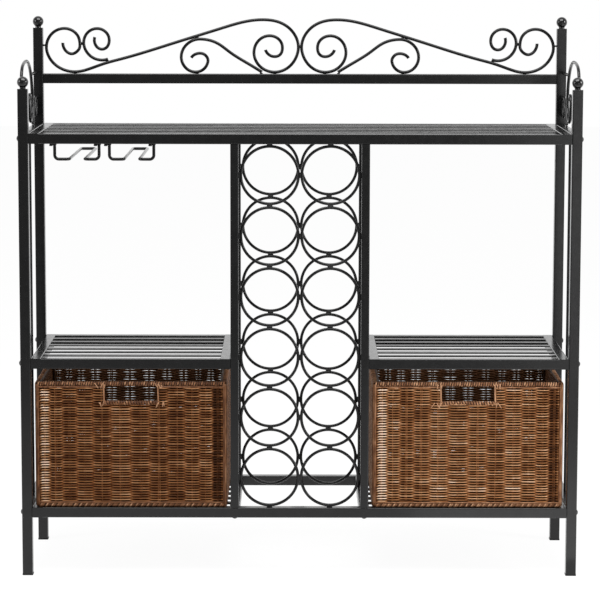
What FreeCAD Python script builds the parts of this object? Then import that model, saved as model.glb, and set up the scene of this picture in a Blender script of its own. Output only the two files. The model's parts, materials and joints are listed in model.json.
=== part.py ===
import FreeCAD, Part

import math
import os

from FreeCAD import Placement, Rotation, Vector

os.makedirs("parts", exist_ok=True)

# A knock-down bakers rack in powder-coated steel: square-tube posts, slatted shelves, a two-column
# wine rack of welded rings between two open bays, wire scrollwork on the top, stemware hangers under
# the top shelf, and two wicker baskets that slide out of the bottom bays.
#
# Millimetres. The origin is the middle of the footprint on the floor.
# +X is the user's right, +Y is the back and +Z is up. The front of the rack faces -Y.

# ---------------------------------------------------------------- driving dimensions

# overall
rack_width = 1092.0           # over the outer faces of the corner posts
rack_depth = 340.0            # over the front and back faces of the corner posts
bottom_frame_top = 136.0      # height of the bottom frame's top face
mid_shelf_top = 432.0         # height of the half-height shelves' top face
front_post_rise = 84.5        # front posts above the top shelf
rear_post_rise = 194.0        # rear posts above the top shelf
crest_rail_rise = 102.1       # top face of the crest rail above the top shelf

# square tube of the posts and shelf rails, and the lighter tube of the wine rack
tube_size = 20.0
light_tube_size = 16.0
tube_wall = 1.2
tube_corner = 2.0

# feet and finials
foot_cap_height = 3.0
foot_cap_overhang = 0.4
plug_clearance = 0.1
plug_length = 12.0
finial_plate = 1.5
finial_neck_radius = 6.0
finial_ball_radius = 11.1
finial_ball_rise = 14.1       # ball centre above the post

# shelf slats
slat_count = 6
slat_width = 20.0
slat_thickness = 2.5
slat_edge = 0.8
slat_recess = 0.5             # slat tops below the rail tops

# wine rack
ring_rows = 6
ring_columns = 2
ring_outer = 117.6
ring_wire = 5.8
ring_row_gap = 1.45           # weld gap between a ring and the one above, or a rail
ring_column_gap = 0.6         # weld gap between the two columns
ring_side_gap = 1.5           # between a ring and the wine post beside it
ring_plane_spacing = 215.0    # front ring panel to rear ring panel
ring_bead_length = 11.0

# fasteners
bolt_radius = 3.0
bolt_head_radius = 6.0
bolt_head_height = 3.2
bolt_clearance = 0.25
bolt_bite = 11.0              # bolt length beyond the joint face
nut_radius = 4.5
nut_length = 13.0
fit_clearance = 0.05          # radial, of a bolt in its nut or a pin in its hole
pin_radius = 3.0
pin_bite = 5.0

# scrollwork
scroll_wire = 6.35
side_rod_diameter = 5.8
side_wire_outset = 4.0        # of the side rods and scrolls, outward from the middle of the posts
side_drawn_span = 296.1       # between the posts, over which the side scrolls are drawn
contact_gap = 0.2             # between a scroll and what it is welded to
curl_gap = 1.5                # between the crest's end curl and the small curl beside it
scroll_bead_radius = 1.9
scroll_bead_length = 6.0

# stemware hangers
hanger_wire = 6.0
hanger_drop = 30.0            # wire centre below the top shelf's rails
hanger_leg_spacing = 86.0
hanger_slot_spacing = 30.0    # between the centre lines of the two rails that carry a glass foot
hanger_rear_gap = 40.5        # wire centre in front of the rack's back face
hanger_bend = 8.0
hanger_pitch = 106.0
hanger_inset = 93.5           # from the left post's inner face to the first hanger's middle
tab_size = 14.0
tab_thickness = 2.0
tab_offset = 3.0              # tab's middle left of its leg
screw_radius = 2.0
screw_head_radius = 3.5
screw_head_height = 2.6
screw_offset = 7.0            # screw left of its leg
screw_length = 8.0

# baskets
basket_side_gap = 8.0         # to the post and to the wine rack
basket_front_gap = 5.0        # behind the rack's front face
basket_rear_gap = 30.0
basket_top_gap = 26.0         # under the half-height shelf
basket_rest_gap = 0.3
basket_wall = 6.0
basket_border = 2.5           # rim and foot border beyond the woven wall
basket_rim_height = 13.0
basket_foot_height = 10.0
basket_corner = 14.0
handle_width = 110.0
handle_height = 34.0
handle_corner = 8.0
handle_below_rim = 10.0
basket_wire = 4.0

# ---------------------------------------------------------------- places worked out from them

half_width = rack_width / 2
front = -rack_depth / 2
back = rack_depth / 2
post_inner = half_width - tube_size
post_x = half_width - tube_size / 2
side_wire_x = post_x + side_wire_outset
post_y = back - tube_size / 2
rail_inner_y = back - tube_size

ring_row_pitch = ring_outer + ring_row_gap
ring_column_pitch = ring_outer + ring_column_gap
ring_stack = ring_rows * ring_row_pitch + ring_row_gap
rail_underside = bottom_frame_top + ring_stack
top_shelf_top = rail_underside + tube_size
front_post_top = top_shelf_top + front_post_rise
rear_post_top = top_shelf_top + rear_post_rise
crest_rail_top = top_shelf_top + crest_rail_rise
shelf_tops = (bottom_frame_top, mid_shelf_top, top_shelf_top)

wine_inner = (ring_columns * ring_column_pitch - ring_column_gap) / 2 + ring_side_gap
wine_outer = wine_inner + light_tube_size
wine_x = wine_inner + light_tube_size / 2
front_ring_y = front + light_tube_size / 2
rear_ring_y = front_ring_y + ring_plane_spacing
end_rail_inner = post_inner - tube_size
end_rail_x = post_inner - tube_size / 2

cross_rail_height = tube_size - slat_recess - slat_thickness   # the slats lie on the cross rails

X_AXIS = Vector(1, 0, 0)
Y_AXIS = Vector(0, 1, 0)
Z_AXIS = Vector(0, 0, 1)


# ---------------------------------------------------------------- helpers

def save(node, solids):
    """Write one node of the assembly, made of one or more solids."""
    shape = solids[0] if len(solids) == 1 else Part.makeCompound(solids)
    shape.exportStep("parts/" + node + ".step")


def mirrored(solids):
    """The same solids on the other side of the rack's middle plane."""
    return [solid.mirror(Vector(0, 0, 0), X_AXIS) for solid in solids]


def save_pair(node, right_solids, suffix=""):
    """Write a left and a right node from the right-hand solids."""
    save(node + "_left" + suffix, mirrored(right_solids))
    save(node + "_right" + suffix, right_solids)


def rounded_rectangle(width, height, radius):
    """A closed outline about the origin of the XY plane, with round corners."""
    x = width / 2 - radius
    y = height / 2 - radius
    arcs = []
    for quarter, (cx, cy) in enumerate(((x, y), (-x, y), (-x, -y), (x, -y))):
        circle = Part.Circle(Vector(cx, cy, 0), Z_AXIS, radius)
        start = quarter * math.pi / 2
        arcs.append(Part.ArcOfCircle(circle, start, start + math.pi / 2).toShape())
    edges = []
    for arc, following in zip(arcs, arcs[1:] + arcs[:1]):
        edges.append(arc)
        edges.append(Part.makeLine(arc.lastVertex().Point, following.firstVertex().Point))
    return Part.Wire(edges)


def along(shape, start, axis):
    """Turn a shape built up the Z axis to point along an axis, from its start point."""
    shape.Placement = Placement(start, Rotation(Z_AXIS, axis))
    return shape


def square_bar(start, axis, length, size, radius):
    """A solid square bar from the middle of its first end."""
    face = Part.Face(rounded_rectangle(size, size, radius))
    return along(face.extrude(Z_AXIS * length), start, axis)


def open_tube(start, axis, length, width, height):
    """An open rectangular tube from the middle of its first end, its height turned to the Z axis."""
    outer = rounded_rectangle(width, height, tube_corner)
    inner = rounded_rectangle(width - 2 * tube_wall, height - 2 * tube_wall, tube_corner - tube_wall)
    face = Part.makeFace([outer, inner], "Part::FaceMakerBullseye")
    return along(face.extrude(Z_AXIS * length), start, axis)


def square_tube(start, axis, length, size=tube_size):
    return open_tube(start, axis, length, size, size)


def capped_tube(start, axis, length, size=tube_size):
    """A square tube whose ends are welded shut and ground flush."""
    hollow = square_bar(start + axis * tube_wall, axis, length - 2 * tube_wall,
                        size - 2 * tube_wall, tube_corner - tube_wall)
    return square_bar(start, axis, length, size, tube_corner).cut(hollow)


def rod(start, axis, length, radius):
    return Part.makeCylinder(radius, length, start, axis)


def box(low, high):
    size = high - low
    return Part.makeBox(size.x, size.y, size.z, low)


def drill(shape, centre, axis, depth, radius):
    """Cut a round hole centred on a point and running half its depth each way."""
    return shape.cut(rod(centre - axis * (depth / 2), axis, depth, radius))


def swept_wire(edges, diameter):
    """A round wire bent along a chain of tangent edges."""
    path = Part.Wire(edges)
    start = edges[0].valueAt(edges[0].FirstParameter)
    heading = edges[0].tangentAt(edges[0].FirstParameter)
    section = Part.Wire([Part.Circle(start, heading, diameter / 2).toShape()])
    return path.makePipeShell([section], True, False)


def scroll(points, diameter):
    """A wire bent into a scroll: a smooth curve through the points, made of tangent arcs."""
    curve = Part.BSplineCurve()
    curve.interpolate(points)
    arcs = [piece.toShape() for piece in curve.toBiArcs(0.05)]
    return swept_wire(arcs, diameter)


def bent_wire(points, bend_radius, diameter):
    """A wire of straight runs with an equal round bend at each corner."""
    edges = []
    run_start = points[0]
    for before, corner, after in zip(points, points[1:], points[2:]):
        coming = (corner - before).normalize()
        leaving = (after - corner).normalize()
        setback = bend_radius * math.tan(coming.getAngle(leaving) / 2)
        bend_start = corner - coming * setback
        bend_end = corner + leaving * setback
        chord_side = (leaving - coming).normalize()
        half_turn = coming.getAngle(leaving) / 2
        centre = corner + chord_side * (bend_radius / math.cos(half_turn))
        bend_middle = centre - chord_side * bend_radius
        edges.append(Part.makeLine(run_start, bend_start))
        edges.append(Part.Arc(bend_start, bend_middle, bend_end).toShape())
        run_start = bend_end
    edges.append(Part.makeLine(run_start, points[-1]))
    return swept_wire(edges, diameter)


def spiral(centre, radii, degrees, steps):
    """Points (u, v) of a curl whose radius changes evenly from the first angle to the last."""
    points = []
    for step in range(steps + 1):
        share = step / steps
        radius = radii[0] + (radii[1] - radii[0]) * share
        angle = math.radians(degrees[0] + (degrees[1] - degrees[0]) * share)
        points.append((centre[0] + radius * math.cos(angle), centre[1] + radius * math.sin(angle)))
    return points


def shifted(points, centre):
    """Points (u, v) given about a centre, as places."""
    return [(centre[0] + u, centre[1] + v) for u, v in points]


def curl_reach(radii, degrees, heading):
    """How far a curl reaches from its centre towards a heading in degrees."""
    u_share = math.cos(math.radians(heading))
    v_share = math.sin(math.radians(heading))
    return max(u * u_share + v * v_share for u, v in spiral((0, 0), radii, degrees, 720))


def bead(centre, axis, neighbours, radius=scroll_bead_radius, length=scroll_bead_length):
    """A weld bead that fills the gap at a contact, cut back to the pieces it joins."""
    return rod(centre - axis * (length / 2), axis, length, radius).cut(neighbours)


# ---------------------------------------------------------------- posts, feet and finials

def shelf_bolt_points(x):
    """Middles of the shelf bolts at one post line: front and back at each shelf level."""
    return [Vector(x, y, top - tube_size / 2) for top in shelf_tops for y in (-post_y, post_y)]


def post(y, top):
    """A right-hand corner post with clearance holes for its shelf bolts."""
    tube = square_tube(Vector(post_x, y, foot_cap_height), Z_AXIS, top - foot_cap_height)
    for point in shelf_bolt_points(post_x):
        if point.y == y:
            tube = drill(tube, point, X_AXIS, tube_size + 2, bolt_radius + bolt_clearance)
    return tube


def plug(start, axis, size=tube_size, length=plug_length):
    """A square plug that fills the end of a tube, leaving the inner corner radius free."""
    inner = size - 2 * tube_wall - 2 * plug_clearance
    return square_bar(start, axis, length, inner, tube_corner)


def foot_cap(x, y):
    base = square_bar(Vector(x, y, 0), Z_AXIS, foot_cap_height,
                      tube_size + 2 * foot_cap_overhang, tube_corner)
    return base.fuse(plug(Vector(x, y, foot_cap_height), Z_AXIS)).removeSplitter()


def finial(x, y, post_top):
    """A ball on a short neck and a plate, with a plug that goes into the post."""
    plate = square_bar(Vector(x, y, post_top), Z_AXIS, finial_plate, tube_size, tube_corner)
    neck_height = finial_ball_rise - finial_plate
    neck = rod(Vector(x, y, post_top + finial_plate), Z_AXIS, neck_height, finial_neck_radius)
    ball = Part.makeSphere(finial_ball_radius, Vector(x, y, post_top + finial_ball_rise))
    stub = plug(Vector(x, y, post_top), Z_AXIS * -1)
    return plate.fuse([neck, ball, stub]).removeSplitter()


save_pair("post_front", [post(-post_y, front_post_top)])
save_pair("post_rear", [post(post_y, rear_post_top)])
save("foot_caps", [foot_cap(x, y) for x in (-post_x, post_x) for y in (-post_y, post_y)])
save("finials_front", [finial(x, -post_y, front_post_top) for x in (-post_x, post_x)])
save("finials_rear", [finial(x, post_y, rear_post_top) for x in (-post_x, post_x)])


# ---------------------------------------------------------------- side frames

def side_crossbars():
    """Bars from the front post to the rear post, at the bottom frame and the top shelf."""
    bars = []
    for top in (bottom_frame_top, top_shelf_top):
        start = Vector(post_x, -rail_inner_y, top - tube_size / 2)
        bars.append(square_tube(start, Y_AXIS, 2 * rail_inner_y))
    return bars


def side_rod():
    """The thin upright in the middle of each side, between its two crossbars."""
    start = Vector(side_wire_x, 0, bottom_frame_top)
    return rod(start, Z_AXIS, top_shelf_top - tube_size - bottom_frame_top, side_rod_diameter / 2)


rest_height = scroll_wire / 2 + contact_gap      # centre line of a wire that rests on a flat face
side_foot_y = -rail_inner_y + rest_height
side_stretch = -2 * side_foot_y / side_drawn_span


def side_points(places):
    """Places in the plane of the right-hand side's wires, given as drawn.

    Each is the distance behind the front post's wire, for the drawn span, and the height above the
    top shelf."""
    return [Vector(side_wire_x, side_foot_y + side_stretch * along_span, top_shelf_top + height)
            for along_span, height in places]


side_scroll_path = [
    (0, 74), (0.3, 86), (1.9, 100), (7, 114), (18, 124), (36, 130), (73, 134.5), (110, 134),
    (154, 124), (186, 105), (205, 80), (210, 55), (206, 37), (195, 22), (179, 12.5), (163, 14),
    (149, 27), (143.5, 45), (147, 59), (157, 66), (167, 63), (171, 54)]
side_stub_place = (186, 105)

side_curl_radii = (21.5, 9)
side_curl_degrees = (80, -280)
side_curl_reach = curl_reach(side_curl_radii, side_curl_degrees, 0)
side_curl_centre = (side_drawn_span - side_curl_reach, 33)
side_curl_foot = (side_curl_centre[0] - 57, rest_height)
side_curl_path = [side_curl_foot]
side_curl_path += shifted([(-49, -11), (-39, 5.5), (-25, 17)], side_curl_centre)
side_curl_path += spiral(side_curl_centre, side_curl_radii, side_curl_degrees, 12)

side_scroll = scroll(side_points(side_scroll_path), scroll_wire)
side_curl = scroll(side_points(side_curl_path), scroll_wire)
side_stub_start = side_points([side_stub_place])[0] + Y_AXIS * (scroll_wire / 4)
side_stub = rod(side_stub_start, Y_AXIS, rail_inner_y - side_stub_start.y, scroll_wire / 2)
side_stub = side_stub.cut(side_scroll)

save_pair("side_crossbars", side_crossbars())
save("side_rods", mirrored([side_rod()]) + [side_rod()])
save_pair("side_scroll", [side_scroll])
save_pair("side_curl", [side_curl, side_stub])


# ---------------------------------------------------------------- shelf frames

def end_rail(x, top, bolt_side):
    """A front-to-back rail that closes one end of a shelf, holed for its nuts or pins."""
    rail = capped_tube(Vector(x, front, top - tube_size / 2), Y_AXIS, rack_depth)
    wall_x = x + bolt_side * tube_size / 2
    if bolt_side > 0:
        places, radius = (-post_y, post_y), nut_radius
    else:
        places, radius = (front_ring_y, rear_ring_y), pin_radius + fit_clearance
    for y in places:
        rail = drill(rail, Vector(wall_x, y, top - tube_size / 2), X_AXIS, tube_size / 2, radius)
    return rail


def cross_tube(low_x, high_x, y, top):
    """A left-to-right rail of a shelf."""
    return square_tube(Vector(low_x, y, top - tube_size / 2), X_AXIS, high_x - low_x)


def slats(low_x, high_x, top):
    """Flat bars, evenly spaced between the front and rear rails."""
    gap = (2 * rail_inner_y - slat_count * slat_width) / (slat_count + 1)
    bars = []
    for index in range(slat_count):
        middle = -rail_inner_y + gap + slat_width / 2 + index * (slat_width + gap)
        start = Vector(low_x, middle, top - slat_recess - slat_thickness / 2)
        face = Part.Face(rounded_rectangle(slat_thickness, slat_width, slat_edge))
        bars.append(along(face.extrude(Z_AXIS * (high_x - low_x)), start, X_AXIS))
    return bars


def holed_for_wine_bolts(rail, y, top):
    """Clearance holes for the bolts that come up into the wine posts."""
    for x in (-wine_x, wine_x):
        centre = Vector(x, y, top - tube_size / 2)
        rail = drill(rail, centre, Z_AXIS, tube_size + 2, bolt_radius + bolt_clearance)
    return rail


def holed_for_wine_pins(rail, y, radius):
    """Holes in the underside for the pins on top of the wine posts."""
    for x in (-wine_x, wine_x):
        centre = Vector(x, y, rail_underside)
        rail = drill(rail, centre, Z_AXIS, tube_size / 2, radius)
    return rail


# bottom frame
front_rail = cross_tube(-end_rail_inner, end_rail_inner, -post_y, bottom_frame_top)
bottom_end_rail = end_rail(end_rail_x, bottom_frame_top, 1)
divider_start = Vector(wine_x, -rail_inner_y, bottom_frame_top - tube_size / 2)
divider_rail = square_tube(divider_start, Y_AXIS, 2 * rail_inner_y)
divider_rail = holed_for_wine_bolts(divider_rail, rear_ring_y, bottom_frame_top)
bay_slats = slats(wine_x + tube_size / 2, end_rail_inner, bottom_frame_top)

save("bottom_front_rail", [holed_for_wine_bolts(front_rail, front_ring_y, bottom_frame_top)])
save("bottom_rear_rail", [cross_tube(-end_rail_inner, end_rail_inner, post_y, bottom_frame_top)])
save("bottom_end_rails", mirrored([bottom_end_rail]) + [bottom_end_rail])
save("bottom_divider_rails", mirrored([divider_rail]) + [divider_rail])
save_pair("bottom_slats", bay_slats)

# half-height shelves, one each side of the wine rack
mid_rail_low = wine_outer + tube_size
save_pair("mid_shelf", [cross_tube(mid_rail_low, end_rail_inner, -post_y, mid_shelf_top)],
          "_front_rail")
save_pair("mid_shelf", [cross_tube(mid_rail_low, end_rail_inner, post_y, mid_shelf_top)],
          "_rear_rail")
save_pair("mid_shelf", [end_rail(end_rail_x, mid_shelf_top, 1),
                        end_rail(wine_outer + tube_size / 2, mid_shelf_top, -1)], "_end_rails")
save_pair("mid_shelf", slats(mid_rail_low, end_rail_inner, mid_shelf_top), "_slats")

# top shelf
hanger_middles = [-post_inner + hanger_inset, -post_inner + hanger_inset + hanger_pitch]
hanger_legs = [middle + side * hanger_leg_spacing / 2 for middle in hanger_middles for side in (-1, 1)]
top_front_rail = cross_tube(-end_rail_inner, end_rail_inner, -post_y, top_shelf_top)
top_front_rail = holed_for_wine_pins(top_front_rail, front_ring_y, pin_radius + fit_clearance)
for leg_x in hanger_legs:
    screw_hole = Vector(leg_x - screw_offset, -post_y, rail_underside)
    top_front_rail = drill(top_front_rail, screw_hole, Z_AXIS, tube_size / 2,
                           screw_radius + fit_clearance)
top_end_rail = end_rail(end_rail_x, top_shelf_top, 1)
cross_rail_start = Vector(wine_x, -rail_inner_y, rail_underside + cross_rail_height / 2)
cross_rail = open_tube(cross_rail_start, Y_AXIS, 2 * rail_inner_y, light_tube_size, cross_rail_height)
cross_rail = holed_for_wine_pins(cross_rail, rear_ring_y, pin_radius + fit_clearance)

save("top_shelf_front_rail", [top_front_rail])
save("top_shelf_rear_rail", [cross_tube(-end_rail_inner, end_rail_inner, post_y, top_shelf_top)])
save("top_shelf_end_rails", mirrored([top_end_rail]) + [top_end_rail])
save("top_shelf_cross_rails", mirrored([cross_rail]) + [cross_rail])
save("top_shelf_slats", slats(-end_rail_inner, end_rail_inner, top_shelf_top))


# ---------------------------------------------------------------- wine rack

def wine_post(y):
    """A right-hand wine post, holed in its outer wall for the half-height shelf's pin."""
    start = Vector(wine_x, y, bottom_frame_top)
    tube = square_tube(start, Z_AXIS, ring_stack, light_tube_size)
    pin_place = Vector(wine_outer, y, mid_shelf_top - tube_size / 2)
    return drill(tube, pin_place, X_AXIS, light_tube_size / 2, pin_radius + fit_clearance)


def ring_centres(y):
    """Middles of the rings in one panel, column by column from the bottom up."""
    centres = []
    for column in range(ring_columns):
        x = (column - (ring_columns - 1) / 2) * ring_column_pitch
        for row in range(ring_rows):
            z = bottom_frame_top + ring_row_gap + ring_outer / 2 + row * ring_row_pitch
            centres.append(Vector(x, y, z))
    return centres


def ring(centre):
    return Part.makeTorus((ring_outer - ring_wire) / 2, ring_wire / 2, centre, Y_AXIS)


def panel_walls(y):
    """Plain blocks in the place of the two posts and the front rails around a ring panel."""
    low = y - light_tube_size / 2
    high = y + light_tube_size / 2
    floor = bottom_frame_top
    return [box(Vector(-wine_outer, low, floor), Vector(-wine_inner, high, rail_underside)),
            box(Vector(wine_inner, low, floor), Vector(wine_outer, high, rail_underside)),
            box(Vector(-wine_inner, low, floor - tube_size), Vector(wine_inner, high, floor)),
            box(Vector(-wine_inner, low, rail_underside), Vector(wine_inner, high, top_shelf_top))]


def ring_welds(y, rails):
    """Beads where the rings of one panel touch each other, the posts and, if told to, the rails."""
    centres = ring_centres(y)
    across = X_AXIS * (ring_column_pitch / 2)
    up = Z_AXIS * (ring_row_pitch / 2)
    to_post = X_AXIS * ((ring_outer + ring_side_gap) / 2)
    contacts = []
    for index, centre in enumerate(centres):
        column, row = divmod(index, ring_rows)
        if row > 0:
            contacts.append((centre - up, X_AXIS))
        if column > 0:
            contacts.append((centre - across, Z_AXIS))
        if column == 0:
            contacts.append((centre - to_post, Z_AXIS))
        if column == ring_columns - 1:
            contacts.append((centre + to_post, Z_AXIS))
        if rails and row == 0:
            contacts.append((centre - up, X_AXIS))
        if rails and row == ring_rows - 1:
            contacts.append((centre + up, X_AXIS))
    beads = []
    for place, axis in contacts:
        touching = [ring(centre) for centre in centres
                    if centre.distanceToPoint(place) < ring_outer]
        beads.append(bead(place, axis, touching + panel_walls(y), ring_wire / 2, ring_bead_length))
    return beads


def wine_post_bolt(x, y):
    """A dome-head bolt up through a bottom rail into the plug in a wine post."""
    underside = Vector(x, y, bottom_frame_top - tube_size)
    return dome_bolt(underside, Z_AXIS, tube_size + bolt_bite)


def dome_bolt(under_head, axis, length):
    """A bolt whose head is a shallow dome, from the face under its head."""
    dome_radius = (bolt_head_radius ** 2 + bolt_head_height ** 2) / (2 * bolt_head_height)
    dome_centre = under_head + axis * (dome_radius - bolt_head_height)
    dome = Part.makeSphere(dome_radius, dome_centre)
    head = rod(under_head - axis * bolt_head_height, axis, bolt_head_height, bolt_head_radius)
    return head.common(dome).fuse(rod(under_head, axis, length, bolt_radius)).removeSplitter()


def bottom_plug(x, y):
    """The threaded plug in the foot of a wine post."""
    block = plug(Vector(x, y, bottom_frame_top), Z_AXIS, light_tube_size, nut_length)
    return drill(block, Vector(x, y, bottom_frame_top), Z_AXIS, 4 * nut_length,
                 bolt_radius + fit_clearance)


def top_plug(x, y):
    """The plug in the top of a wine post, with a pin that enters the rail above it."""
    block = plug(Vector(x, y, rail_underside), Z_AXIS * -1, light_tube_size)
    return block.fuse(rod(Vector(x, y, rail_underside), Z_AXIS, pin_bite, pin_radius))


wine_places = [(x, y) for x in (-wine_x, wine_x) for y in (front_ring_y, rear_ring_y)]
save_pair("wine_post_front", [wine_post(front_ring_y)])
save_pair("wine_post_rear", [wine_post(rear_ring_y)])
save("wine_rings_front", [ring(centre) for centre in ring_centres(front_ring_y)])
save("wine_rings_rear", [ring(centre) for centre in ring_centres(rear_ring_y)])
save("wine_ring_welds", ring_welds(front_ring_y, True) + ring_welds(rear_ring_y, False))
save("wine_post_bolts", [wine_post_bolt(x, y) for x, y in wine_places])
save("wine_post_plugs", [make(x, y) for x, y in wine_places for make in (bottom_plug, top_plug)])


# ---------------------------------------------------------------- shelf fasteners

def shelf_nut(point):
    """A threaded sleeve set in the outer wall of an end rail."""
    sleeve = rod(Vector(post_inner, point.y, point.z), X_AXIS * -1, nut_length, nut_radius)
    return drill(sleeve, Vector(post_inner, point.y, point.z), X_AXIS, 4 * nut_length,
                 bolt_radius + fit_clearance)


def shelf_pin(y):
    """A pin between a half-height shelf's inner end rail and a wine post."""
    start = Vector(wine_outer - pin_bite, y, mid_shelf_top - tube_size / 2)
    return rod(start, X_AXIS, 2 * pin_bite, pin_radius)


shelf_bolts = [dome_bolt(point, X_AXIS * -1, tube_size + bolt_bite)
               for point in shelf_bolt_points(half_width)]
shelf_nuts = [shelf_nut(point) for point in shelf_bolt_points(half_width)]
shelf_pins = [shelf_pin(y) for y in (front_ring_y, rear_ring_y)]
save("shelf_bolts", mirrored(shelf_bolts) + shelf_bolts)
save("shelf_nuts", mirrored(shelf_nuts) + shelf_nuts)
save("shelf_pins", mirrored(shelf_pins) + shelf_pins)


# ---------------------------------------------------------------- crest

def crest_points(places):
    """Places (x, height above the crest rail) in the plane of the rear posts."""
    return [Vector(x, post_y, crest_rail_top + height) for x, height in places]


# Right-hand half. The outer curls keep their distance from the post, the inner ones from the middle,
# and the ramp between them takes up any difference in width.
meeting_x = scroll_wire / 2 + contact_gap / 2    # centre line where the two halves meet

end_curl_radii = (27.3, 41.8)
end_curl_degrees = (172, -6)
end_curl_centre = (post_inner - 48, 57.5)
end_curl_eye = [(7.9, 5.1), (5.5, -6), (-1.5, -14.5), (-10.7, -17.5), (-20, -13.5), (-26.4, -5)]
centre_curl_radii = (50.1, 20.8)
centre_curl_degrees = (210, 540)
centre_curl_depth = curl_reach(centre_curl_radii, centre_curl_degrees, 270)
centre_curl_centre = (meeting_x + 53.9, rest_height + centre_curl_depth)
centre_curl_eye = [(-18.3, -7), (-12.3, -12), (-4.8, -13.3), (3.2, -11.4), (9.7, -6.4), (13.6, 0.5)]
crest_scroll_path = shifted(end_curl_eye, end_curl_centre)
crest_scroll_path += spiral(end_curl_centre, end_curl_radii, end_curl_degrees, 7)
crest_scroll_path += [
    (post_inner - 18, 24), (post_inner - 37, 9.5), (post_inner - 65, rest_height),
    (post_inner - 93, 9), (post_inner - 121.5, 19.2), (post_inner - 158.5, 29.5),
    (245.5, 66.5), (204.5, 79.2), (160, 93), (110, 106.8), (72, 110.2), (36, 102.5),
    (13, 83), (meeting_x, 55.5), (meeting_x + 2.6, 39)]
crest_scroll_path += spiral(centre_curl_centre, centre_curl_radii, centre_curl_degrees, 11)
crest_scroll_path += shifted(centre_curl_eye, centre_curl_centre)

small_curl_radii = (30.5, 21.7)
small_curl_degrees = (-7, 184)
curl_contact_x = end_curl_centre[0] - curl_reach(end_curl_radii, end_curl_degrees, 180)
curl_contact_x -= (scroll_wire + curl_gap) / 2
small_curl_reach = curl_reach(small_curl_radii, small_curl_degrees, 0)
small_curl_centre = (curl_contact_x - (scroll_wire + curl_gap) / 2 - small_curl_reach, 65.5)
small_curl_eye = [(-17.3, -11.5), (-6.5, -16), (3.5, -11), (8, -1.8), (7.5, 8.8)]
small_curl_path = [
    (post_inner - 132.5, 23.3 + scroll_wire), (post_inner - 113, 28), (post_inner - 96, 36)]
small_curl_path += spiral(small_curl_centre, small_curl_radii, small_curl_degrees, 7)
small_curl_path += shifted(small_curl_eye, small_curl_centre)

s_curl_radii = (35.2, 21.5)
s_curl_degrees = (42, -180)
s_curl_depth = curl_reach(s_curl_radii, s_curl_degrees, 270)
s_curl_centre = (210.6, rest_height + s_curl_depth)
s_curl_eye = [(-19.1, 4.3), (-13.6, 9.2), (-5.9, 11), (2.4, 9.5), (8.7, 5.8), (12.2, 1.8)]
s_scroll_foot = (71.5 + scroll_wire, rest_height)
s_scroll_crown = (214.6, 75.9 - scroll_wire - contact_gap)     # just under the ramp
s_scroll_path = [s_scroll_foot, (100, 17), (143.5, 43.8), (172, 63.5)]
s_scroll_path += shifted([(-24.6, -0.2), (-10.6, 1.1), (0, 0), (12.4, -5.7)], s_scroll_crown)
s_scroll_path += spiral(s_curl_centre, s_curl_radii, s_curl_degrees, 8)
s_scroll_path += shifted(s_curl_eye, s_curl_centre)

crest_scroll = scroll(crest_points(crest_scroll_path), scroll_wire)
crest_curl = scroll(crest_points(small_curl_path), scroll_wire)
crest_s_scroll = scroll(crest_points(s_scroll_path), scroll_wire)
crest_rail_start = Vector(-post_inner, post_y, crest_rail_top - tube_size / 2)
crest_rail = square_tube(crest_rail_start, X_AXIS, 2 * post_inner)

save("crest_rail", [crest_rail])
save_pair("crest_scroll", [crest_scroll])
save_pair("crest_curl", [crest_curl])
save_pair("crest_s_scroll", [crest_s_scroll])


# ---------------------------------------------------------------- scroll welds

def crest_weld(x, height, axis, neighbours):
    """A bead at a place (x, height above the crest rail) on the crest."""
    return bead(crest_points([(x, height)])[0], axis, neighbours)


def side_weld(along_span, height, axis, neighbours):
    """A bead at a place on a side scroll, given as side_points has it."""
    return bead(side_points([(along_span, height)])[0], axis, neighbours)


rail_block = box(Vector(-post_inner, rail_inner_y, crest_rail_top - tube_size),
                 Vector(post_inner, back, crest_rail_top))
front_post_block = box(Vector(post_inner, front, 0), Vector(half_width, -rail_inner_y, front_post_top))
rear_post_block = box(Vector(post_inner, rail_inner_y, 0), Vector(half_width, back, rear_post_top))
crossbar_block = box(Vector(post_inner, -rail_inner_y, top_shelf_top - tube_size),
                     Vector(half_width, rail_inner_y, top_shelf_top))
end_curl_reach = curl_reach(end_curl_radii, end_curl_degrees, 0)
post_stub_start = crest_points([(end_curl_centre[0] + end_curl_reach, end_curl_centre[1])])[0]
post_stub = rod(post_stub_start, X_AXIS, post_inner - post_stub_start.x, scroll_bead_radius)
right_welds = [
    post_stub.cut(crest_scroll),
    crest_weld(post_inner - 65, contact_gap / 2, X_AXIS, [crest_scroll, rail_block]),
    crest_weld(curl_contact_x, 61, Z_AXIS, [crest_scroll, crest_curl]),
    crest_weld(post_inner - 131, 25.4, X_AXIS, [crest_scroll, crest_curl]),
    crest_weld(s_scroll_crown[0] - 4, s_scroll_crown[1] + scroll_wire * 0.65, X_AXIS,
               [crest_scroll, crest_s_scroll]),
    crest_weld(s_curl_centre[0], contact_gap / 2, X_AXIS, [crest_s_scroll, rail_block]),
    crest_weld(centre_curl_centre[0] - 6, contact_gap / 2, X_AXIS, [crest_scroll, rail_block]),
    crest_weld(s_scroll_foot[0] + 1.5, contact_gap / 2, X_AXIS,
               [crest_s_scroll, crest_scroll, rail_block]),
    side_weld(-scroll_wire / 2, 79, Z_AXIS, [side_scroll, front_post_block]),
    side_weld(side_curl_foot[0], contact_gap / 2, Y_AXIS, [side_curl, crossbar_block]),
    side_weld(side_drawn_span + scroll_wire / 2, side_curl_centre[1] + 3, Z_AXIS,
              [side_curl, rear_post_block])]
middle_weld = bead(crest_points([(0, 55.5)])[0], Z_AXIS,
                   [crest_scroll] + mirrored([crest_scroll]))
save("scroll_welds", mirrored(right_welds) + [middle_weld] + right_welds)


# ---------------------------------------------------------------- stemware hangers

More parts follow.
